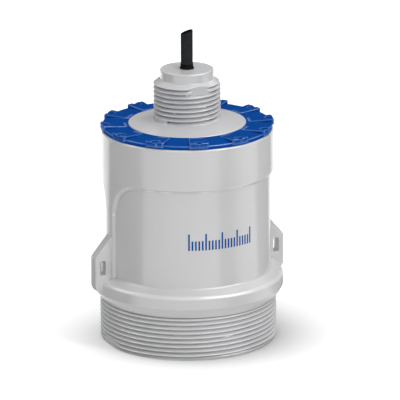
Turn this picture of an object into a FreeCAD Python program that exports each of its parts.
import FreeCAD, Part
import math
import os
import re

import Sketcher
from FreeCAD import Rotation, Vector

# Radar level transmitter: a moulded housing with a process thread, a collar with two slotted lugs
# and recessed panels, closed by a cover with a threaded neck. A dimpled marking ring lies around
# the cover. Inside are the antenna lens and horn, two electronic boards and the end of the cable.
# Millimetres. The origin is the centre of the bottom rim, +Z runs up the axis and the front is -Y.

# Sizes that can be set by themselves

SIZES = [
    ("thread_radius", 43.942, "crest radius of the process thread, nominal size 3"),
    ("thread_length", 22.2, "length of the process thread"),
    ("thread_lead_in", 1.2, "chamfer at the start of the process thread"),
    ("thread_flat_cut", 1.542, "depth of the two side flats, measured from the thread crests"),
    ("thread_flat_height", 4.8, "height of the two side flats"),
    ("thread_wall", 6.442, "wall of the housing under the thread crests"),
    ("body_wall", 5.0, "wall of the body above the collar"),
    ("collar_overhang", 4.9, "how far the collar stands out beyond the body"),
    ("collar_lead", 5.1, "height of the cone between thread and collar"),
    ("collar_height", 6.3, "height of the side of the collar"),
    ("collar_round", 2.0, "rounding of the collar edges"),
    ("shoulder_rise", 2.75, "height of the sloping shoulder above the collar"),
    ("shoulder_fillet", 2.0, "fillet between the shoulder and the panels"),
    ("body_height", 107.0, "level of the upper rim of the housing"),
    ("rim_round", 0.8, "rounding of the upper rim"),
    ("lip_width", 3.5, "width of the lip under the lens"),
    ("lip_height", 3.0, "height of the lip under the lens"),
    ("rebate_width", 2.0, "width of the rebate that takes the cover flange"),
    ("flange_thickness", 3.1, "thickness of the cover flange"),
    ("panel_depth", 1.45, "depth of the recessed panels"),
    ("panel_margin", 21.4, "height of the plain band above the panels"),
    ("panel_corner", 20.0, "corner radius of the panels"),
    ("lug_thickness", 6.0, "thickness of the lugs and of the ribs above them"),
    ("lug_projection", 8.8, "how far the lugs stand out beyond the body"),
    ("lug_lift", 0.3, "height of the lower lug edge above the lower collar edge"),
    ("lug_height", 19.0, "height of the outer lug face with its corners"),
    ("lug_slope", 10.4, "height of the sloping lug edge"),
    ("lug_grip", 3.2, "depth of the lug root in the wall of the body"),
    ("lug_corner", 5.2, "radius of the lower lug corner"),
    ("lug_nose", 1.6, "radius of the upper lug corner"),
    ("slot_distance", 4.7, "distance of the middle of the lug slot from the body"),
    ("slot_lift", 13.5, "height of the middle of the lug slot above the lower lug edge"),
    ("slot_width", 3.4, "width of the lug slot"),
    ("slot_height", 7.4, "height of the lug slot"),
    ("slot_round", 1.2, "corner radius of the lug slot"),
    ("fit_gap", 0.1, "radial clearance of fitted parts"),
    ("skirt_wall", 3.6, "wall of the cover skirt"),
    ("skirt_depth", 11.0, "depth of the skirt below the flange"),
    ("seal_section", 2.0, "section diameter of the sealing rings"),
    ("seal_gap", 0.02, "clearance of the sealing rings in their grooves"),
    ("seal_groove_width", 2.6, "width of the sealing grooves"),
    ("seal_depth", 9.5, "depth of the cover seal below the rim of the housing"),
    ("ring_width", 13.42, "width of the marking ring, from the raised disc to the body"),
    ("dome_height", 3.1, "height of the rim of the raised disc above the housing"),
    ("dome_rise", 2.1, "rise of the raised disc from its rim to the neck"),
    ("dome_round", 0.5, "rounding of the rim of the raised disc"),
    ("ceiling_depth", 2.4, "depth of the inner ceiling of the cover below the rim of the housing"),
    ("neck_radius", 16.6245, "crest radius of the neck thread, nominal size 1"),
    ("neck_thread_length", 18.2, "length of the neck thread"),
    ("neck_chamfer", 2.0, "height of the chamfer above the neck thread"),
    ("neck_flat_cut", 1.8245, "depth of the two neck flats, measured from the thread crests"),
    ("neck_flat_height", 3.7, "height of the two neck flats below the end of the thread"),
    ("neck_wall", 6.1245, "wall of the neck under the thread crests"),
    ("spigot_step", 3.4245, "step from the thread crests in to the plain spigot"),
    ("spigot_height", 4.8, "height of the plain spigot"),
    ("spigot_round", 0.6, "rounding of the top of the spigot"),
    ("roof_thickness", 6.0, "thickness of the roof of the neck"),
    ("peg_count", 4, "number of pegs under the marking ring"),
    ("peg_radius", 1.5, "radius of the pegs under the marking ring"),
    ("peg_length", 1.8, "length of the pegs under the marking ring"),
    ("peg_clearance", 0.1, "clearance of the pegs in their holes"),
    ("ring_foot_inset", 0.6, "how far the foot of the marking ring stands back from the body"),
    ("ring_inset", 0.3, "how far the marking ring stands back from the body between the pads"),
    ("ring_inner_height", 2.8, "height of the inner edge of the marking ring"),
    ("ring_edge_height", 2.0, "height of the outer edge of the marking ring"),
    ("ring_round", 0.5, "rounding of the outer edge of the marking ring"),
    ("pad_angle", 13.3, "angle that one pad takes up"),
    ("pad_count", 12, "number of pads"),
    ("pad_phase", -16.5, "angle of the first pad from the front"),
    ("pad_overhang", 0.4, "how far the pads stand out beyond the body"),
    ("pad_margin", 1.12, "distance from the raised disc to where the pads start"),
    ("pad_rise", 1.7, "height of the outer edge of the pads above the ring"),
    ("pad_lift", 0.9, "height above the rim where the pads leave the ring"),
    ("pad_round", 0.5, "rounding of the edges of the pads"),
    ("dimple_inset", 2.0, "distance of the dimples from the rim of the pads, which they cut"),
    ("dimple_radius", 2.3, "radius of the mouth of a dimple"),
    ("dimple_depth", 1.1, "depth of a dimple"),
    ("lens_thickness", 6.0, "thickness of the lens rim"),
    ("lens_gap", 0.2, "clearance of the lower bulge of the lens in the lip"),
    ("lens_bulge", 2.0, "height of the lower bulge of the lens"),
    ("lens_cap_inset", 1.5, "distance of the upper cap of the lens from the horn"),
    ("lens_cap", 4.5, "height of the upper cap of the lens"),
    ("horn_flange", 2.0, "thickness of the horn flange"),
    ("horn_rim", 6.0, "width of the horn flange from the mouth to the bore"),
    ("horn_wall", 1.8, "wall of the horn at the mouth"),
    ("horn_throat", 1.6, "radius of the waveguide"),
    ("horn_neck", 9.0, "outer radius of the horn under the board seat"),
    ("seat_radius", 18.5, "radius of the board seat and of the radar board"),
    ("seat_thickness", 4.0, "thickness of the board seat"),
    ("nut_height", 6.0, "height of the retaining ring"),
    ("nut_gap", 1.3, "gap between the horn and the retaining ring"),
    ("nut_notch_width", 4.0, "width of the spanner notches"),
    ("nut_notch_depth", 2.5, "depth of the spanner notches"),
    ("board_thickness", 1.6, "thickness of the boards"),
    ("board_margin", 4.5, "gap between the main board and the bore"),
    ("standoff_count", 3, "number of standoffs"),
    ("standoff_inset", 4.0, "distance of the standoffs from the edge of the radar board"),
    ("standoff_radius", 3.2, "circumscribed radius of the standoffs"),
    ("standoff_height", 14.0, "height of the standoffs"),
    ("stud_radius", 1.5, "radius of the stud under a standoff"),
    ("stud_grip", 2.8, "length of the stud in the board seat"),
    ("screw_radius", 1.25, "radius of the board screws"),
    ("screw_grip", 5.0, "length of a board screw in its standoff"),
    ("tap_runout", 1.0, "depth of a tapped hole below its screw"),
    ("screw_head_radius", 2.4, "radius of the board screw heads"),
    ("screw_head_height", 1.8, "height of the board screw heads"),
    ("drive_width", 0.6, "width of the slot in a screw head"),
    ("drive_depth", 0.9, "depth of the slot in a screw head"),
    ("hole_gap", 0.05, "clearance of screws and studs in their holes"),
    ("chip_width", 6.0, "width of the radar chip"),
    ("chip_height", 0.8, "height of the radar chip"),
    ("chip_gap", 0.2, "clearance around the radar chip"),
    ("can_gap", 1.36, "gap between the shield can and the standoffs beside it"),
    ("can_depth", 14.0, "depth of the shield can"),
    ("can_height", 3.2, "height of the shield can"),
    ("can_wall", 0.3, "wall of the shield can"),
    ("connector_width", 12.0, "width of the board connector"),
    ("connector_depth", 4.0, "depth of the board connector"),
    ("connector_inset", 5.5, "distance of the board connector from the edge of the radar board"),
    ("processor_width", 10.0, "width of the processor"),
    ("processor_height", 1.2, "height of the processor"),
    ("processor_x", 14.0, "place of the processor to the left of the axis"),
    ("processor_y", 8.0, "place of the processor behind the axis"),
    ("radio_width", 13.0, "width of the radio module"),
    ("radio_depth", 9.0, "depth of the radio module"),
    ("radio_height", 2.2, "height of the radio module"),
    ("radio_x", 15.0, "place of the radio module to the right of the axis"),
    ("radio_y", 12.0, "place of the radio module behind the axis"),
    ("capacitor_radius", 4.0, "radius of the storage capacitors"),
    ("capacitor_height", 9.0, "height of the storage capacitors"),
    ("outer_capacitor_x", 23.0, "place of the outer capacitor to the left of the axis"),
    ("outer_capacitor_y", 2.0, "place of the outer capacitor in front of the axis"),
    ("inner_capacitor_x", 15.0, "place of the inner capacitor to the left of the axis"),
    ("inner_capacitor_y", 17.0, "place of the inner capacitor in front of the axis"),
    ("terminal_width", 12.0, "width of the terminal block"),
    ("terminal_depth", 9.0, "depth of the terminal block"),
    ("terminal_height", 10.0, "height of the terminal block"),
    ("terminal_x", 12.0, "place of the terminal block to the right of the axis"),
    ("terminal_y", 16.0, "place of the terminal block in front of the axis"),
    ("wiring_room", 15.8, "room between the terminal block and the rim of the housing"),
    ("pole_pitch", 5.0, "distance between the two poles"),
    ("pole_depth", 7.2, "depth of the wire holes"),
    ("terminal_screw_radius", 1.4, "radius of the terminal screws"),
    ("terminal_screw_level", 5.0, "height of the terminal screws above the board"),
    ("wire_radius", 0.8, "radius of an insulated core"),
    ("wire_gap", 0.1, "distance of each core from the cable axis"),
    ("wire_drop", 1.6, "depth below the ceiling where the cores leave the cable axis"),
    ("wire_turn_height", 8.0, "height above the ferrule where the cores turn down"),
    ("ferrule_wall", 0.4, "wall of a wire ferrule"),
    ("ferrule_length", 8.6, "length of a wire ferrule"),
    ("ferrule_grip", 2.0, "distance of the wire end from the ferrule end"),
    ("screen_gap", 0.35, "gap between the cores and the braided screen"),
    ("screen_wall", 0.25, "thickness of the braided screen"),
    ("jacket_wall", 0.65, "wall of the cable jacket"),
    ("cable_reach", 18.5, "height of the middle of the cut cable end above the spigot"),
    ("cable_slant", 20.5, "slope of the cut end of the cable"),
    ("cable_turn", -24.3, "direction in which the cut end rises"),
    ("cable_tail", 1.0, "length of the jacket below the strain relief collar"),
    ("cable_cap", 2.9, "closed length at the cut end"),
    ("grip_wall", 2.25, "wall of the strain relief collar"),
    ("grip_height", 4.0, "height of the strain relief collar"),
    ("potting_height", 10.2, "height of the potting"),
    ("sleeve_wall", 0.35, "wall of the cable sleeve in the roof"),
    ("sleeve_brim", 0.2, "how far the foot of the cable sleeve stands out beyond its hole"),
    ("sleeve_foot_height", 0.6, "height of the foot of the cable sleeve"),
    ("sleeve_slope", 0.36, "height of the chamfer above the foot of the cable sleeve"),
    ("sleeve_lip_wall", 0.2, "wall of the upper part of the cable sleeve"),
    ("sleeve_height", 2.3, "height of the cable sleeve above the roof"),
]

# Radii and levels that follow from them

DERIVED = [
    ("thread_flat_reach", "thread_radius - thread_flat_cut"),
    ("bore_radius", "thread_radius - thread_wall"),
    ("body_radius", "bore_radius + body_wall"),
    ("collar_radius", "body_radius + collar_overhang"),
    ("collar_bottom", "thread_length + collar_lead"),
    ("collar_top", "collar_bottom + collar_height"),
    ("shoulder_top", "collar_top + shoulder_rise"),
    ("lip_radius", "bore_radius - lip_width"),
    ("rebate_radius", "bore_radius + rebate_width"),
    ("dome_radius", "body_radius - ring_width"),
    ("panel_top", "body_height - panel_margin"),
    ("lug_root", "body_radius - lug_grip"),
    ("lug_reach", "body_radius + lug_projection"),
    ("lug_bottom", "collar_bottom + lug_lift"),
    ("lug_slope_end", "lug_bottom + lug_height"),
    ("lug_root_top", "lug_slope_end + lug_slope"),
    ("slot_reach", "body_radius + slot_distance"),
    ("slot_level", "lug_bottom + slot_lift"),
    ("skirt_radius", "bore_radius - fit_gap"),
    ("seal_groove_radius", "bore_radius - seal_section - seal_gap * 2"),
    ("seal_level", "body_height - seal_depth"),
    ("flange_floor", "body_height - flange_thickness"),
    ("ceiling", "body_height - ceiling_depth"),
    ("dome_edge", "body_height + dome_height"),
    ("neck_bore", "neck_radius - neck_wall"),
    ("neck_flat_reach", "neck_radius - neck_flat_cut"),
    ("neck_foot", "dome_edge + dome_rise"),
    ("neck_thread_top", "neck_foot + neck_thread_length"),
    ("neck_flat_bottom", "neck_thread_top - neck_flat_height"),
    ("spigot_radius", "neck_radius - spigot_step"),
    ("spigot_foot", "neck_thread_top + neck_chamfer"),
    ("spigot_top", "spigot_foot + spigot_height"),
    ("roof_floor", "spigot_top - roof_thickness"),
    ("peg_circle", "(dome_radius + rebate_radius) / 2"),
    ("ring_foot_radius", "body_radius - ring_foot_inset"),
    ("ring_radius", "body_radius - ring_inset"),
    ("ring_inner_top", "body_height + ring_inner_height"),
    ("ring_outer_top", "body_height + ring_edge_height"),
    ("pad_radius", "body_radius + pad_overhang"),
    ("pad_start", "dome_radius + pad_margin"),
    ("pad_top", "ring_outer_top + pad_rise"),
    ("pad_foot", "body_height + pad_lift"),
    ("pad_slope", "(pad_top - ring_inner_top) / (pad_radius - pad_start)"),
    ("dimple_circle", "pad_radius - dimple_inset"),
    ("dimple_level", "ring_inner_top + pad_slope * (dimple_circle - pad_start)"),
    ("dimple_ball", "(dimple_radius ^ 2 + dimple_depth ^ 2) / (2 * dimple_depth)"),
    ("lens_top", "lip_height + lens_thickness"),
    ("lens_seal_level", "lip_height + lens_thickness / 2"),
    ("lens_bulge_radius", "lip_radius - lens_gap"),
    ("horn_mouth", "bore_radius - horn_rim"),
    ("lens_cap_radius", "horn_mouth - lens_cap_inset"),
    ("nut_bore", "horn_mouth + horn_wall + nut_gap"),
    ("flange_top", "lens_top + horn_flange"),
    ("terminal_top", "body_height - wiring_room"),
    ("main_top", "terminal_top - terminal_height"),
    ("main_floor", "main_top - board_thickness"),
    ("rf_top", "main_floor - standoff_height"),
    ("seat_top", "rf_top - board_thickness"),
    ("seat_floor", "seat_top - seat_thickness"),
    ("main_board_radius", "bore_radius - board_margin"),
    ("standoff_circle", "seat_radius - standoff_inset"),
    ("can_width", "2 * (standoff_circle * cos(30) - standoff_radius - can_gap)"),
    ("connector_offset", "seat_radius - connector_inset"),
    ("wire_offset", "wire_radius + wire_gap"),
    ("wire_bend_level", "ceiling - wire_drop"),
    ("ferrule_radius", "wire_radius + ferrule_wall"),
    ("ferrule_floor", "terminal_top - pole_depth"),
    ("screen_bore", "wire_offset + wire_radius + screen_gap"),
    ("screen_radius", "screen_bore + screen_wall"),
    ("cable_radius", "screen_radius + jacket_wall"),
    ("cable_end", "spigot_top + cable_reach"),
    ("potting_floor", "roof_floor - potting_height"),
    ("grip_floor", "potting_floor - grip_height"),
    ("cable_foot", "grip_floor - cable_tail"),
    ("grip_radius", "cable_radius + grip_wall"),
    ("sleeve_radius", "cable_radius + sleeve_wall"),
    ("sleeve_foot_radius", "sleeve_radius + sleeve_brim"),
    ("sleeve_lip_radius", "cable_radius + sleeve_lip_wall"),
]

doc = FreeCAD.newDocument("RadarLevelTransmitter")
sheet = doc.addObject("Spreadsheet::Sheet", "Sizes")
for row, (alias, size, meaning) in enumerate(SIZES, 1):
    sheet.set(f"A{row}", meaning)
    sheet.set(f"B{row}", str(size))
    sheet.setAlias(f"B{row}", alias)
for row, (alias, formula) in enumerate(DERIVED, len(SIZES) + 1):
    sheet.set(f"A{row}", alias.replace("_", " "))
    sheet.set(f"B{row}", "=" + formula)
    sheet.setAlias(f"B{row}", alias)
doc.recompute()

ALIASES = {row[0] for row in SIZES + DERIVED}
LARGE = "lug_reach * 2"


def bound(text):
    """The expression with every alias led back to the sheet."""
    def led_back(word):
        return "Sizes." + word[0] if word[0] in ALIASES else word[0]

    return re.sub(r"[a-z_]+", led_back, text)


def number(text):
    """The present value of an expression."""
    result = sheet.evalExpression(bound(text))
    return float(getattr(result, "Value", result))


def circle_at(shape, *places):
    """Names of the round edges at the given radii and levels."""
    names = []
    for index, edge in enumerate(shape.Edges, 1):
        if not isinstance(edge.Curve, Part.Circle):
            continue
        for radius, level in places:
            same_radius = abs(edge.Curve.Radius - number(radius)) < 0.001
            if same_radius and abs(edge.Curve.Center.z - number(level)) < 0.001:
                names.append(f"Edge{index}")
    return names


# Bodies made from sketches


def new_body(label):
    """An empty body with a name of its own."""
    body = doc.addObject("PartDesign::Body", label)
    body.Label = label
    return body


def origin_feature(body, role):
    """A plane or axis of the body's own origin."""
    return next(item for item in body.Origin.OriginFeatures if item.Role == role)


def new_sketch(body, name, role):
    """A sketch on one of the body's own planes."""
    sketch = body.newObject("Sketcher::SketchObject", name)
    sketch.AttachmentSupport = [(origin_feature(body, role), "")]
    sketch.MapMode = "FlatFace"
    return sketch


def tie_point(sketch, geometry, point, name, x, y):
    """Bind one point of a sketch to two expressions."""
    for kind, text, axis in (("DistanceX", x, -2), ("DistanceY", y, -1)):
        size = number(text)
        if abs(size) < 1e-9:
            sketch.addConstraint(Sketcher.Constraint("PointOnObject", geometry, point, axis))
            continue
        ends = (-1, 1, geometry, point) if size > 0 else (geometry, point, -1, 1)
        index = sketch.addConstraint(Sketcher.Constraint(kind, *ends, abs(size)))
        label = name + kind[-1]
        sketch.renameConstraint(index, label)
        sketch.setExpression(f"Constraints.{label}", bound(text if size > 0 else f"-({text})"))


def add_outline(sketch, corners, prefix="corner"):
    """A closed outline of straight edges whose corners are bound to the sheet."""
    places = [Vector(number(x), number(y), 0) for x, y in corners]
    first = sketch.GeometryCount
    count = len(places)
    for index, start in enumerate(places):
        sketch.addGeometry(Part.LineSegment(start, places[(index + 1) % count]), False)
    for index in range(count):
        follower = first + (index + 1) % count
        sketch.addConstraint(Sketcher.Constraint("Coincident", first + index, 2, follower, 1))
    for index, (x, y) in enumerate(corners):
        tie_point(sketch, first + index, 1, f"{prefix}{index}", x, y)


def revolve(body, name, corners):
    """A full turn of an outline about the Z axis."""
    sketch = new_sketch(body, name + "_outline", "XZ_Plane")
    add_outline(sketch, corners)
    feature = body.newObject("PartDesign::Revolution", name)
    feature.Profile = sketch
    feature.ReferenceAxis = (sketch, ["V_Axis"])
    feature.Angle = 360
    doc.recompute()
    return feature


def turned(label, corners):
    """A body that is one turned or moulded ring shape."""
    body = new_body(label)
    revolve(body, label + "_turn", corners)
    return body


def cut_across(body, name, role, corners, span):
    """A pocket of the same outline on both sides of its plane."""
    sketch = new_sketch(body, name + "_outline", role)
    add_outline(sketch, corners)
    feature = body.newObject("PartDesign::Pocket", name)
    feature.Profile = sketch
    feature.Midplane = True
    feature.setExpression("Length", bound(span))
    doc.recompute()
    return feature


def mirrored(body, name, features, role):
    """The same features on the other side of a plane."""
    feature = body.newObject("PartDesign::Mirrored", name)
    feature.Originals = features
    feature.MirrorPlane = (origin_feature(body, role), [""])
    body.Tip = feature
    doc.recompute()
    return feature


def rounded(body, name, base, edges, radius):
    """A fillet on the named edges of the last feature."""
    feature = body.newObject("PartDesign::Fillet", name)
    feature.Base = (base, edges)
    feature.setExpression("Radius", bound(radius))
    doc.recompute()
    return feature


# Solids made from primitives


def solid(kind, label, place=("0", "0", "0"), **sizes):
    """A primitive whose sizes and place are bound to the sheet."""
    item = doc.addObject("Part::" + kind, label)
    for name, text in sizes.items():
        item.setExpression(name, bound(text))
    for axis, text in zip("xyz", place):
        item.setExpression(f"Placement.Base.{axis}", bound(text))
    return item


def block(label, centre, floor, width, depth, height):
    """A box that stands on a level, with its centre over a point."""
    x, y = centre
    place = (f"{x} - ({width}) / 2", f"{y} - ({depth}) / 2", floor)
    return solid("Box", label, place, Length=width, Width=depth, Height=height)


def combine(kind, label, first, second):
    """A cut or a common of two solids."""
    item = doc.addObject("Part::" + kind, label)
    item.Base = first
    item.Tool = second
    return item


def joined(kind, label, items):
    """A fuse or a group of several solids."""
    item = doc.addObject("Part::" + kind, label)
    if kind == "Compound":
        item.Links = items
    else:
        item.Shapes = items
    return item


def ring_places(count, radius):
    """Points spread evenly on a circle, the first one behind the axis."""
    step = 360 / number(count)
    turns = [90 + step * index for index in range(int(number(count)))]
    return [(f"{radius} * cos({turn})", f"{radius} * sin({turn})") for turn in turns]


def pins(label, count, circle, level, radius, height):
    """Equal cylinders on a circle."""
    rods = [
        solid("Cylinder", f"{label}_{index}", (x, y, level), Radius=radius, Height=height)
        for index, (x, y) in enumerate(ring_places(count, circle))
    ]
    return joined("MultiFuse", label, rods)


# The housing: thread, collar, body, lugs and recessed panels

housing_body = new_body("housing_blank")
shoulder_slope = "(shoulder_top - collar_top) / (collar_radius - body_radius)"
housing_turn = revolve(
    housing_body,
    "housing_turn",
    [
        ("lip_radius", "0"),
        ("thread_radius - thread_lead_in", "0"),
        ("thread_radius", "thread_lead_in"),
        ("thread_radius", "thread_length"),
        ("collar_radius", "collar_bottom"),
        ("collar_radius", "collar_top"),
        ("body_radius", "shoulder_top"),
        ("body_radius", "body_height"),
        ("rebate_radius", "body_height"),
        ("rebate_radius", "flange_floor"),
        ("bore_radius", "flange_floor"),
        ("bore_radius", "lip_height"),
        ("lip_radius", "lip_height"),
    ],
)
collar_edges = circle_at(
    housing_turn.Shape, ("collar_radius", "collar_bottom"), ("collar_radius", "collar_top")
)
collar_fillet = rounded(housing_body, "collar_fillet", housing_turn, collar_edges, "collar_round")
rim_edges = circle_at(collar_fillet.Shape, ("body_radius", "body_height"))
rim_fillet = rounded(housing_body, "rim_fillet", collar_fillet, rim_edges, "rim_round")

thread_flat = cut_across(
    housing_body,
    "thread_flat",
    "XZ_Plane",
    [
        ("thread_flat_reach", "0"),
        ("collar_radius", "0"),
        ("collar_radius", "thread_flat_height"),
        ("thread_flat_reach", "thread_flat_height"),
    ],
    "thread_radius * 2",
)
mirrored(housing_body, "thread_flats", [thread_flat], "YZ_Plane")

# One lug on its own, with its rounded corners and its slot, and its twin on the other side

lug_blank = new_body("lug_blank")
lug_sketch = new_sketch(lug_blank, "lug_outline", "XZ_Plane")
add_outline(
    lug_sketch,
    [
        ("lug_root", "lug_bottom"),
        ("lug_reach", "lug_bottom"),
        ("lug_reach", "lug_slope_end"),
        ("body_radius", "lug_root_top"),
        ("lug_root", "lug_root_top"),
    ],
)
lug = lug_blank.newObject("PartDesign::Pad", "lug")
lug.Profile = lug_sketch
lug.Midplane = True
lug.setExpression("Length", bound("lug_thickness"))
doc.recompute()


def edges_along_y(shape, reach, level):
    """Names of the straight edges along Y at a distance from the axis and a level."""
    names = []
    for index, edge in enumerate(shape.Edges, 1):
        centre = edge.CenterOfMass
        along_y = abs(edge.Length - number("lug_thickness")) < 0.01 and abs(centre.y) < 0.001
        at_reach = abs(centre.x - number(reach)) < 0.01
        if along_y and at_reach and abs(centre.z - number(level)) < 0.01:
            names.append(f"Edge{index}")
    return names


lower_corner = edges_along_y(lug.Shape, "lug_reach", "lug_bottom")
lower_fillet = rounded(lug_blank, "lug_lower_fillet", lug, lower_corner, "lug_corner")
nose_edge = edges_along_y(lower_fillet.Shape, "lug_reach", "lug_slope_end")
nose_fillet = rounded(lug_blank, "lug_nose_fillet", lower_fillet, nose_edge, "lug_nose")
slot = cut_across(
    lug_blank,
    "slot",
    "XZ_Plane",
    [
        ("slot_reach - slot_width / 2", "slot_level - slot_height / 2"),
        ("slot_reach + slot_width / 2", "slot_level - slot_height / 2"),
        ("slot_reach + slot_width / 2", "slot_level + slot_height / 2"),
        ("slot_reach - slot_width / 2", "slot_level + slot_height / 2"),
    ],
    "lug_thickness * 2",
)
slot_edges = []
for reach in ("slot_reach - slot_width / 2", "slot_reach + slot_width / 2"):
    for level in ("slot_level - slot_height / 2", "slot_level + slot_height / 2"):
        slot_edges += edges_along_y(slot.Shape, reach, level)
rounded(lug_blank, "slot_fillet", slot, slot_edges, "slot_round")
lug_twin = doc.addObject("Part::Mirroring", "lug_twin")
lug_twin.Source = lug_blank
lug_twin.Normal = Vector(1, 0, 0)

# One recessed panel: a thin ring of material, kept only inside a mask whose upper corners are
# quarters of cylinders that point at the axis, so that they look round on the curved wall.

panel_skin = turned(
    "panel_skin",
    [
        ("body_radius - panel_depth", f"shoulder_top + {shoulder_slope} * panel_depth"),
        ("collar_radius", "collar_top"),
        ("collar_radius", "panel_top"),
        ("body_radius - panel_depth", "panel_top"),
    ],
)
panel_foot = ("body_radius - panel_depth", f"shoulder_top + {shoulder_slope} * panel_depth")
panel_turn = panel_skin.Tip
panel_edges = circle_at(panel_turn.Shape, panel_foot)
rounded(panel_skin, "panel_foot_fillet", panel_turn, panel_edges, "shoulder_fillet")
corner_turn = "acos(lug_thickness / 2 / body_radius) - asin(panel_corner / body_radius)"
corner_level = "panel_top - panel_corner"
mask_low = solid(
    "Box",
    "mask_low",
    ("-lug_reach", "-lug_reach", "0"),
    Length="lug_reach * 2",
    Width="lug_reach - lug_thickness / 2",
    Height=corner_level,
)
mask_middle = solid("Cylinder", "mask_middle", Radius="lug_reach", Height="panel_top")
mask_middle.setExpression("Angle", bound(f"2 * ({corner_turn})"))
mask_middle.setExpression("Placement.Rotation.Angle", bound(f"-90 deg - ({corner_turn})"))
mask_corners = []
for side, sign, quarter in (("left", "-", 90), ("right", "", 0)):
    corner = solid("Cylinder", f"mask_corner_{side}", Radius="panel_corner", Height="lug_reach")
    corner.Angle = 90
    turn = f"rotationz({sign}({corner_turn})) * rotationx(90) * rotationz({quarter})"
    corner.setExpression("Placement", bound(f"placement(vector(0; 0; {corner_level}); {turn})"))
    mask_corners.append(corner)
mask_round = joined("MultiFuse", "mask_round", [mask_middle] + mask_corners)
mask_front = solid(
    "Box",
    "mask_front",
    ("-lug_reach", "-lug_reach", "0"),
    Length="lug_reach * 2",
    Width="lug_reach - lug_thickness / 2",
    Height="panel_top",
)
mask_top = combine("Common", "mask_top", mask_round, mask_front)
mask = joined("MultiFuse", "mask", [mask_low, mask_top])
front_panel = combine("Common", "front_panel", panel_skin, mask)
back_panel = doc.addObject("Part::Mirroring", "back_panel")
back_panel.Source = front_panel
back_panel.Normal = Vector(0, 1, 0)
panels = joined("MultiFuse", "panels", [front_panel, back_panel])
panelled_body = combine("Cut", "panelled_body", housing_body, panels)
housing = joined("MultiFuse", "housing", [panelled_body, lug_blank, lug_twin])

# The cover: flange, skirt, raised disc, threaded neck and plain spigot

cover_blank = new_body("cover_blank")
cover_turn = revolve(
    cover_blank,
    "cover_turn",
    [
        ("neck_bore", "ceiling"),
        ("skirt_radius - skirt_wall", "ceiling"),
        ("skirt_radius - skirt_wall", "flange_floor - skirt_depth"),
        ("skirt_radius", "flange_floor - skirt_depth"),
        ("skirt_radius", "seal_level - seal_groove_width / 2"),
        ("seal_groove_radius", "seal_level - seal_groove_width / 2"),
        ("seal_groove_radius", "seal_level + seal_groove_width / 2"),
        ("skirt_radius", "seal_level + seal_groove_width / 2"),
        ("skirt_radius", "flange_floor"),
        ("rebate_radius - fit_gap", "flange_floor"),
        ("rebate_radius - fit_gap", "body_height"),
        ("dome_radius", "body_height"),
        ("dome_radius", "dome_edge"),
        ("neck_radius", "neck_foot"),
        ("neck_radius", "neck_thread_top"),
        ("spigot_radius", "spigot_foot"),
        ("spigot_radius", "spigot_top"),
        ("sleeve_radius", "spigot_top"),
        ("sleeve_radius", "roof_floor"),
        ("neck_bore", "roof_floor"),
    ],
)
dome_edges = circle_at(cover_turn.Shape, ("dome_radius", "dome_edge"))
dome_fillet = rounded(cover_blank, "dome_fillet", cover_turn, dome_edges, "dome_round")
spigot_edges = circle_at(dome_fillet.Shape, ("spigot_radius", "spigot_top"))
spigot_fillet = rounded(cover_blank, "spigot_fillet", dome_fillet, spigot_edges, "spigot_round")
neck_flat = cut_across(
    cover_blank,
    "neck_flat",
    "YZ_Plane",
    [
        ("neck_flat_reach", "neck_flat_bottom"),
        ("dome_radius", "neck_flat_bottom"),
        ("dome_radius", "spigot_foot"),
        ("neck_flat_reach", "spigot_foot"),
    ],
    "neck_radius * 2",
)
mirrored(cover_blank, "neck_flats", [neck_flat], "XZ_Plane")
peg_holes = pins(
    "peg_holes",
    "peg_count",
    "peg_circle",
    "body_height - peg_length - peg_clearance",
    "peg_radius + peg_clearance",
    "peg_length + peg_clearance",
)
top_cover = combine("Cut", "top_cover", cover_blank, peg_holes)

# The marking ring: a sloping ring with raised, dimpled pads and four locating pegs

ring_blank = new_body("ring_blank")
ring_turn = revolve(
    ring_blank,
    "ring_turn",
    [
        ("dome_radius + fit_gap", "body_height"),
        ("ring_foot_radius", "body_height"),
        ("ring_radius", "pad_foot"),
        ("ring_radius", "ring_outer_top"),
        ("dome_radius + fit_gap", "ring_inner_top"),
    ],
)
ring_edges = circle_at(ring_turn.Shape, ("ring_radius", "ring_outer_top"))
rounded(ring_blank, "ring_fillet", ring_turn, ring_edges, "ring_round")

pad_blank = new_body("pad_blank")
pad_sketch = new_sketch(pad_blank, "pad_outline", "XZ_Plane")
add_outline(
    pad_sketch,
    [
        ("pad_start", "pad_foot"),
        ("ring_radius", "pad_foot"),
        ("pad_radius", "pad_foot + pad_round"),
        ("pad_radius", "pad_top"),
        ("pad_start", "ring_inner_top"),
    ],
)
pad = pad_blank.newObject("PartDesign::Revolution", "pad")
pad.Profile = pad_sketch
pad.ReferenceAxis = (pad_sketch, ["V_Axis"])
pad.Midplane = True
pad.setExpression("Angle", bound("pad_angle"))
doc.recompute()


def upper_edges(shape):
    """Names of the outer upper edge and the two side edges of the pad's top face."""
    names = []
    for index, edge in enumerate(shape.Edges, 1):
        ends = [vertex.Point for vertex in edge.Vertexes]
        outer = all(point.z > number("pad_top") - 0.01 for point in ends)
        lowest = min(point.z for point in ends)
        side = abs(ends[0].z - ends[-1].z) > 0.1 and lowest > number("ring_outer_top")
        if outer or side:
            names.append(f"Edge{index}")
    return names


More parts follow.
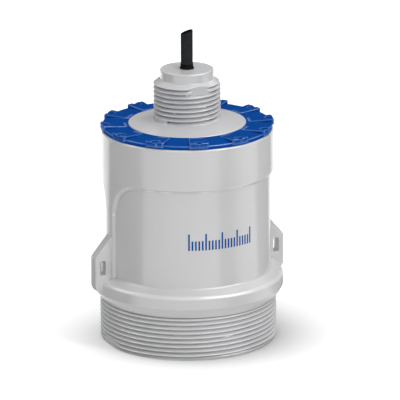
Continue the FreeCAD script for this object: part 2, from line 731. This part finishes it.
rounded(pad_blank, "pad_fillet", pad, upper_edges(pad.Shape), "pad_round")
dimple = solid(
    "Sphere",
    "dimple",
    ("dimple_circle", "0", "dimple_level - dimple_depth + dimple_ball"),
    Radius="dimple_ball",
)
dimpled_pad = combine("Cut", "dimpled_pad", pad_blank, dimple)
pads = []
for index in range(int(number("pad_count"))):
    copy = doc.addObject("App::Link", f"pad_{index}")
    copy.LinkedObject = dimpled_pad
    turn = f"pad_phase - 90 + {index} * 360 / pad_count"
    copy.setExpression("Placement.Rotation.Angle", bound(turn))
    pads.append(copy)
pegs = pins(
    "pegs", "peg_count", "peg_circle", "body_height - peg_length", "peg_radius", "peg_length"
)
marking_ring = joined("MultiFuse", "marking_ring", [ring_blank, pegs] + pads)

# Seals

cover_oring = solid("Torus", "cover_oring", ("0", "0", "seal_level"))
lens_oring = solid("Torus", "lens_oring", ("0", "0", "lens_seal_level"))
for seal in (cover_oring, lens_oring):
    seal.setExpression("Radius1", bound("bore_radius - seal_section / 2 - seal_gap"))
    seal.setExpression("Radius2", bound("seal_section / 2"))

# The lens: a disc that sits on the lip, with a shallow bulge below and a cap above

lens_disc = turned(
    "lens_disc",
    [
        ("0", "lip_height"),
        ("skirt_radius", "lip_height"),
        ("skirt_radius", "lens_seal_level - seal_groove_width / 2"),
        ("seal_groove_radius", "lens_seal_level - seal_groove_width / 2"),
        ("seal_groove_radius", "lens_seal_level + seal_groove_width / 2"),
        ("skirt_radius", "lens_seal_level + seal_groove_width / 2"),
        ("skirt_radius", "lens_top"),
        ("0", "lens_top"),
    ],
)


def cap_of_sphere(label, radius, height, level, upward):
    """The part of a ball that rises above a level, or hangs below it."""
    ball = f"(({radius}) ^ 2 + ({height}) ^ 2) / (2 * ({height}))"
    centre = f"{level} + {height} - {ball}" if upward else f"{level} - {height} + {ball}"
    sphere = solid("Sphere", label + "_ball", ("0", "0", centre), Radius=ball)
    floor = level if upward else f"{level} - ({height})"
    slab = solid("Cylinder", label + "_slab", ("0", "0", floor), Radius=radius, Height=height)
    return combine("Common", label, sphere, slab)


lens_lower = cap_of_sphere("lens_lower", "lens_bulge_radius", "lens_bulge", "lip_height", False)
lens_upper = cap_of_sphere("lens_upper", "lens_cap_radius", "lens_cap", "lens_top", True)
lens = joined("MultiFuse", "lens", [lens_disc, lens_lower, lens_upper])

# The horn with its board seat, and the ring that holds it down

horn_blank = turned(
    "horn_blank",
    [
        ("horn_mouth", "lens_top"),
        ("skirt_radius", "lens_top"),
        ("skirt_radius", "flange_top"),
        ("horn_mouth + horn_wall", "flange_top"),
        ("horn_neck", "seat_floor"),
        ("seat_radius", "seat_floor"),
        ("seat_radius", "seat_top"),
        ("horn_throat", "seat_top"),
        ("horn_throat", "seat_floor"),
    ],
)
chip_pocket = block(
    "chip_pocket",
    ("0", "0"),
    "seat_top - chip_height - chip_gap",
    "chip_width + 2 * chip_gap",
    "chip_width + 2 * chip_gap",
    "chip_height + chip_gap",
)
stud_holes = pins(
    "stud_holes",
    "standoff_count",
    "standoff_circle",
    "seat_top - stud_grip - hole_gap",
    "stud_radius + hole_gap",
    "stud_grip + hole_gap",
)
horn_cuts = joined("MultiFuse", "horn_cuts", [chip_pocket, stud_holes])
antenna_horn = combine("Cut", "antenna_horn", horn_blank, horn_cuts)

nut_blank = turned(
    "nut_blank",
    [
        ("nut_bore", "flange_top"),
        ("skirt_radius", "flange_top"),
        ("skirt_radius", "flange_top + nut_height"),
        ("nut_bore", "flange_top + nut_height"),
    ],
)
notch_floor = "flange_top + nut_height - nut_notch_depth"
notch_along_x = block(
    "notch_along_x", ("0", "0"), notch_floor, LARGE, "nut_notch_width", "nut_notch_depth"
)
notch_along_y = block(
    "notch_along_y", ("0", "0"), notch_floor, "nut_notch_width", LARGE, "nut_notch_depth"
)
notches = joined("MultiFuse", "notches", [notch_along_x, notch_along_y])
retaining_ring = combine("Cut", "retaining_ring", nut_blank, notches)

# Boards, standoffs and screws


def board(label, radius, level):
    """A round board with a hole for each standoff."""
    plate = solid(
        "Cylinder", label + "_plate", ("0", "0", level), Radius=radius, Height="board_thickness"
    )
    holes = pins(
        label + "_holes",
        "standoff_count",
        "standoff_circle",
        level,
        "stud_radius + hole_gap",
        "board_thickness",
    )
    return combine("Cut", label, plate, holes)


rf_board = board("rf_board", "seat_radius", "seat_top")
main_board = board("main_board", "main_board_radius", "main_floor")

standoffs = []
screws = []
for index, (x, y) in enumerate(ring_places("standoff_count", "standoff_circle")):
    hexagon = doc.addObject("Part::Prism", f"standoff_hexagon_{index}")
    hexagon.Polygon = 6
    hexagon.setExpression("Circumradius", bound("standoff_radius"))
    hexagon.setExpression("Height", bound("standoff_height"))
    for axis, text in zip("xyz", (x, y, "rf_top")):
        hexagon.setExpression(f"Placement.Base.{axis}", bound(text))
    stud = solid(
        "Cylinder",
        f"stud_{index}",
        (x, y, "seat_top - stud_grip"),
        Radius="stud_radius",
        Height="stud_grip + board_thickness",
    )
    post = joined("MultiFuse", f"post_{index}", [hexagon, stud])
    tapped = solid(
        "Cylinder",
        f"tapped_hole_{index}",
        (x, y, "main_floor - screw_grip - tap_runout"),
        Radius="screw_radius + hole_gap",
        Height="screw_grip + tap_runout",
    )
    standoffs.append(combine("Cut", f"standoff_{index}", post, tapped))
    shank = solid(
        "Cylinder",
        f"screw_shank_{index}",
        (x, y, "main_floor - screw_grip"),
        Radius="screw_radius",
        Height="screw_grip + board_thickness",
    )
    head = solid(
        "Cylinder",
        f"screw_head_{index}",
        (x, y, "main_top"),
        Radius="screw_head_radius",
        Height="screw_head_height",
    )
    head_top = "main_top + screw_head_height"
    drive = solid(
        "Box",
        f"screw_drive_{index}",
        (f"{x} - screw_head_radius", f"{y} - drive_width / 2", f"{head_top} - drive_depth"),
        Length="screw_head_radius * 2",
        Width="drive_width",
        Height="drive_depth",
    )
    screw_blank = joined("MultiFuse", f"screw_blank_{index}", [shank, head])
    screws.append(combine("Cut", f"screw_{index}", screw_blank, drive))
board_standoffs = joined("Compound", "board_standoffs", standoffs)
board_screws = joined("Compound", "board_screws", screws)

# Parts on the boards

radar_chip = block(
    "radar_chip", ("0", "0"), "seat_top - chip_height", "chip_width", "chip_width", "chip_height"
)
can_outside = block("can_outside", ("0", "0"), "rf_top", "can_width", "can_depth", "can_height")
can_inside = block(
    "can_inside",
    ("0", "0"),
    "rf_top",
    "can_width - 2 * can_wall",
    "can_depth - 2 * can_wall",
    "can_height - can_wall",
)
shield_can = combine("Cut", "shield_can", can_outside, can_inside)
board_connector = block(
    "board_connector",
    ("0", "-connector_offset"),
    "rf_top",
    "connector_width",
    "connector_depth",
    "standoff_height",
)
processor_chip = block(
    "processor_chip",
    ("-processor_x", "processor_y"),
    "main_top",
    "processor_width",
    "processor_width",
    "processor_height",
)
radio_module = block(
    "radio_module",
    ("radio_x", "radio_y"),
    "main_top",
    "radio_width",
    "radio_depth",
    "radio_height",
)
capacitors = [
    solid(
        "Cylinder",
        f"{place}_capacitor",
        (f"-{place}_capacitor_x", f"-{place}_capacitor_y", "main_top"),
        Radius="capacitor_radius",
        Height="capacitor_height",
    )
    for place in ("outer", "inner")
]
storage_capacitors = joined("Compound", "storage_capacitors", capacitors)

# Terminal block, ferrules and cores

poles = [(f"terminal_x + {side} * pole_pitch / 2", "-terminal_y") for side in (-1, 1)]
terminal_blank = block(
    "terminal_blank",
    ("terminal_x", "-terminal_y"),
    "main_top",
    "terminal_width",
    "terminal_depth",
    "terminal_height",
)
terminal_cuts = []
terminal_screw_list = []
ferrules = []
for index, (x, y) in enumerate(poles):
    wire_hole = solid(
        "Cylinder",
        f"wire_hole_{index}",
        (x, y, "ferrule_floor"),
        Radius="ferrule_radius + hole_gap",
        Height="pole_depth",
    )
    front = f"{y} - terminal_depth / 2"
    level = "main_top + terminal_screw_level"
    screw_hole = solid(
        "Cylinder",
        f"terminal_screw_hole_{index}",
        (x, front, level),
        Radius="terminal_screw_radius + hole_gap",
        Height="terminal_depth / 2",
    )
    clamp_screw = solid(
        "Cylinder",
        f"terminal_screw_{index}",
        (x, front, level),
        Radius="terminal_screw_radius",
        Height="terminal_depth / 2 - ferrule_radius - hole_gap",
    )
    for item in (screw_hole, clamp_screw):
        item.Placement.Rotation = Rotation(Vector(1, 0, 0), -90)
    terminal_cuts += [wire_hole, screw_hole]
    terminal_screw_list.append(clamp_screw)
    sheath = solid(
        "Cylinder",
        f"sheath_{index}",
        (x, y, "ferrule_floor"),
        Radius="ferrule_radius",
        Height="ferrule_length",
    )
    core_hole = solid(
        "Cylinder",
        f"core_hole_{index}",
        (x, y, "ferrule_floor + ferrule_grip"),
        Radius="wire_radius",
        Height="ferrule_length",
    )
    ferrules.append(combine("Cut", f"ferrule_{index}", sheath, core_hole))
terminal_holes = joined("MultiFuse", "terminal_holes", terminal_cuts)
terminal_block = combine("Cut", "terminal_block", terminal_blank, terminal_holes)
terminal_screws = joined("Compound", "terminal_screws", terminal_screw_list)
wire_ferrules = joined("Compound", "wire_ferrules", ferrules)


def soft_path(points):
    """Straight runs joined by tangent arcs, each as large as its two runs allow."""
    edges = []
    start = points[0]
    for before, corner, after in zip(points, points[1:], points[2:]):
        run_in = (corner - before).normalize()
        run_out = (after - corner).normalize()
        half_turn = run_in.getAngle(run_out) / 2
        reach = 0.45 * min((corner - before).Length, (after - corner).Length)
        radius = reach / math.tan(half_turn)
        print("bend radius", round(radius, 2))
        arc_start = corner - run_in * reach
        arc_end = corner + run_out * reach
        inward = (run_out - run_in).normalize()
        middle = corner + inward * (radius / math.cos(half_turn) - radius)
        edges.append(Part.LineSegment(start, arc_start).toShape())
        edges.append(Part.Arc(arc_start, middle, arc_end).toShape())
        start = arc_end
    edges.append(Part.LineSegment(start, points[-1]).toShape())
    return Part.Wire(edges)


def core(label, side, pole):
    """One insulated core, from the end of the cable down into its ferrule."""
    x, y = (number(text) for text in pole)
    wire_end = number("ferrule_floor + ferrule_grip")
    route = [
        Vector(side * number("wire_offset"), 0, number("cable_end - cable_cap")),
        Vector(side * number("wire_offset"), 0, number("wire_bend_level")),
        Vector(x, y, number("terminal_top + wire_turn_height")),
        Vector(x, y, wire_end),
    ]
    path = soft_path(route)
    circle = Part.Circle(route[0], Vector(0, 0, 1), number("wire_radius")).toShape()
    tube = path.makePipeShell([Part.Wire([circle])], True, False)
    section = math.pi * number("wire_radius") ** 2
    whole = section * path.Length
    print(label, "volume", round(tube.Volume, 2), "section times length", round(whole, 2))
    feature = doc.addObject("Part::Feature", label)
    feature.Shape = tube
    return feature


negative_wire = core("negative_wire", -1, poles[0])
positive_wire = core("positive_wire", 1, poles[1])

# The cable, its seals and its grip

cable_jacket = turned(
    "cable_jacket",
    [
        ("screen_radius", "cable_foot"),
        ("cable_radius", "cable_foot"),
        ("cable_radius", "cable_end + cable_radius"),
        ("0", "cable_end + cable_radius"),
        ("0", "cable_end - cable_cap"),
        ("screen_radius", "cable_end - cable_cap"),
    ],
)
cut_across(
    cable_jacket,
    "slanted_end",
    "XZ_Plane",
    [
        ("-cable_radius * 2", "cable_end - cable_radius * 2 * tan(cable_slant)"),
        ("cable_radius * 2", "cable_end + cable_radius * 2 * tan(cable_slant)"),
        ("cable_radius * 2", "cable_end + cable_radius * 3"),
        ("-cable_radius * 2", "cable_end + cable_radius * 3"),
    ],
    "cable_radius * 4",
)
cable_jacket.setExpression("Placement.Rotation.Angle", bound("cable_turn"))
cable_screen = turned(
    "cable_screen",
    [
        ("screen_bore", "cable_foot"),
        ("screen_radius", "cable_foot"),
        ("screen_radius", "cable_end - cable_cap"),
        ("screen_bore", "cable_end - cable_cap"),
    ],
)
potting_plug = turned(
    "potting_plug",
    [
        ("cable_radius", "potting_floor"),
        ("neck_bore", "potting_floor"),
        ("neck_bore", "roof_floor"),
        ("cable_radius", "roof_floor"),
    ],
)
strain_relief_collar = turned(
    "strain_relief_collar",
    [
        ("cable_radius", "grip_floor"),
        ("grip_radius", "grip_floor"),
        ("grip_radius", "potting_floor"),
        ("cable_radius", "potting_floor"),
    ],
)
cable_sleeve = turned(
    "cable_sleeve",
    [
        ("cable_radius", "roof_floor"),
        ("sleeve_radius", "roof_floor"),
        ("sleeve_radius", "spigot_top"),
        ("sleeve_foot_radius", "spigot_top"),
        ("sleeve_foot_radius", "spigot_top + sleeve_foot_height"),
        ("sleeve_lip_radius", "spigot_top + sleeve_foot_height + sleeve_slope"),
        ("sleeve_lip_radius", "spigot_top + sleeve_height"),
        ("cable_radius", "spigot_top + sleeve_height + sleeve_lip_radius - cable_radius"),
    ],
)

NODES = [
    housing, top_cover, marking_ring, cover_oring, lens, lens_oring, antenna_horn, retaining_ring,
    rf_board, radar_chip, shield_can, board_standoffs, board_connector, main_board, board_screws,
    processor_chip, radio_module, storage_capacitors, terminal_block, terminal_screws,
    wire_ferrules, positive_wire, negative_wire, strain_relief_collar, potting_plug, cable_jacket,
    cable_screen, cable_sleeve,
]

doc.recompute()
broken = [item.Name for item in doc.Objects if "Invalid" in item.State or "Error" in item.State]
if broken:
    raise RuntimeError("objects that failed: " + ", ".join(broken))
for node in NODES:
    if node.Shape.isNull() or not node.Shape.isValid() or not node.Shape.Solids:
        raise RuntimeError("bad shape: " + node.Label)

os.makedirs("parts", exist_ok=True)
for node in NODES:
    node.Shape.exportStep(f"parts/{node.Label}.step")
    box = node.Shape.BoundBox
    print(node.Label, len(node.Shape.Solids), round(node.Shape.Volume, 1), box)
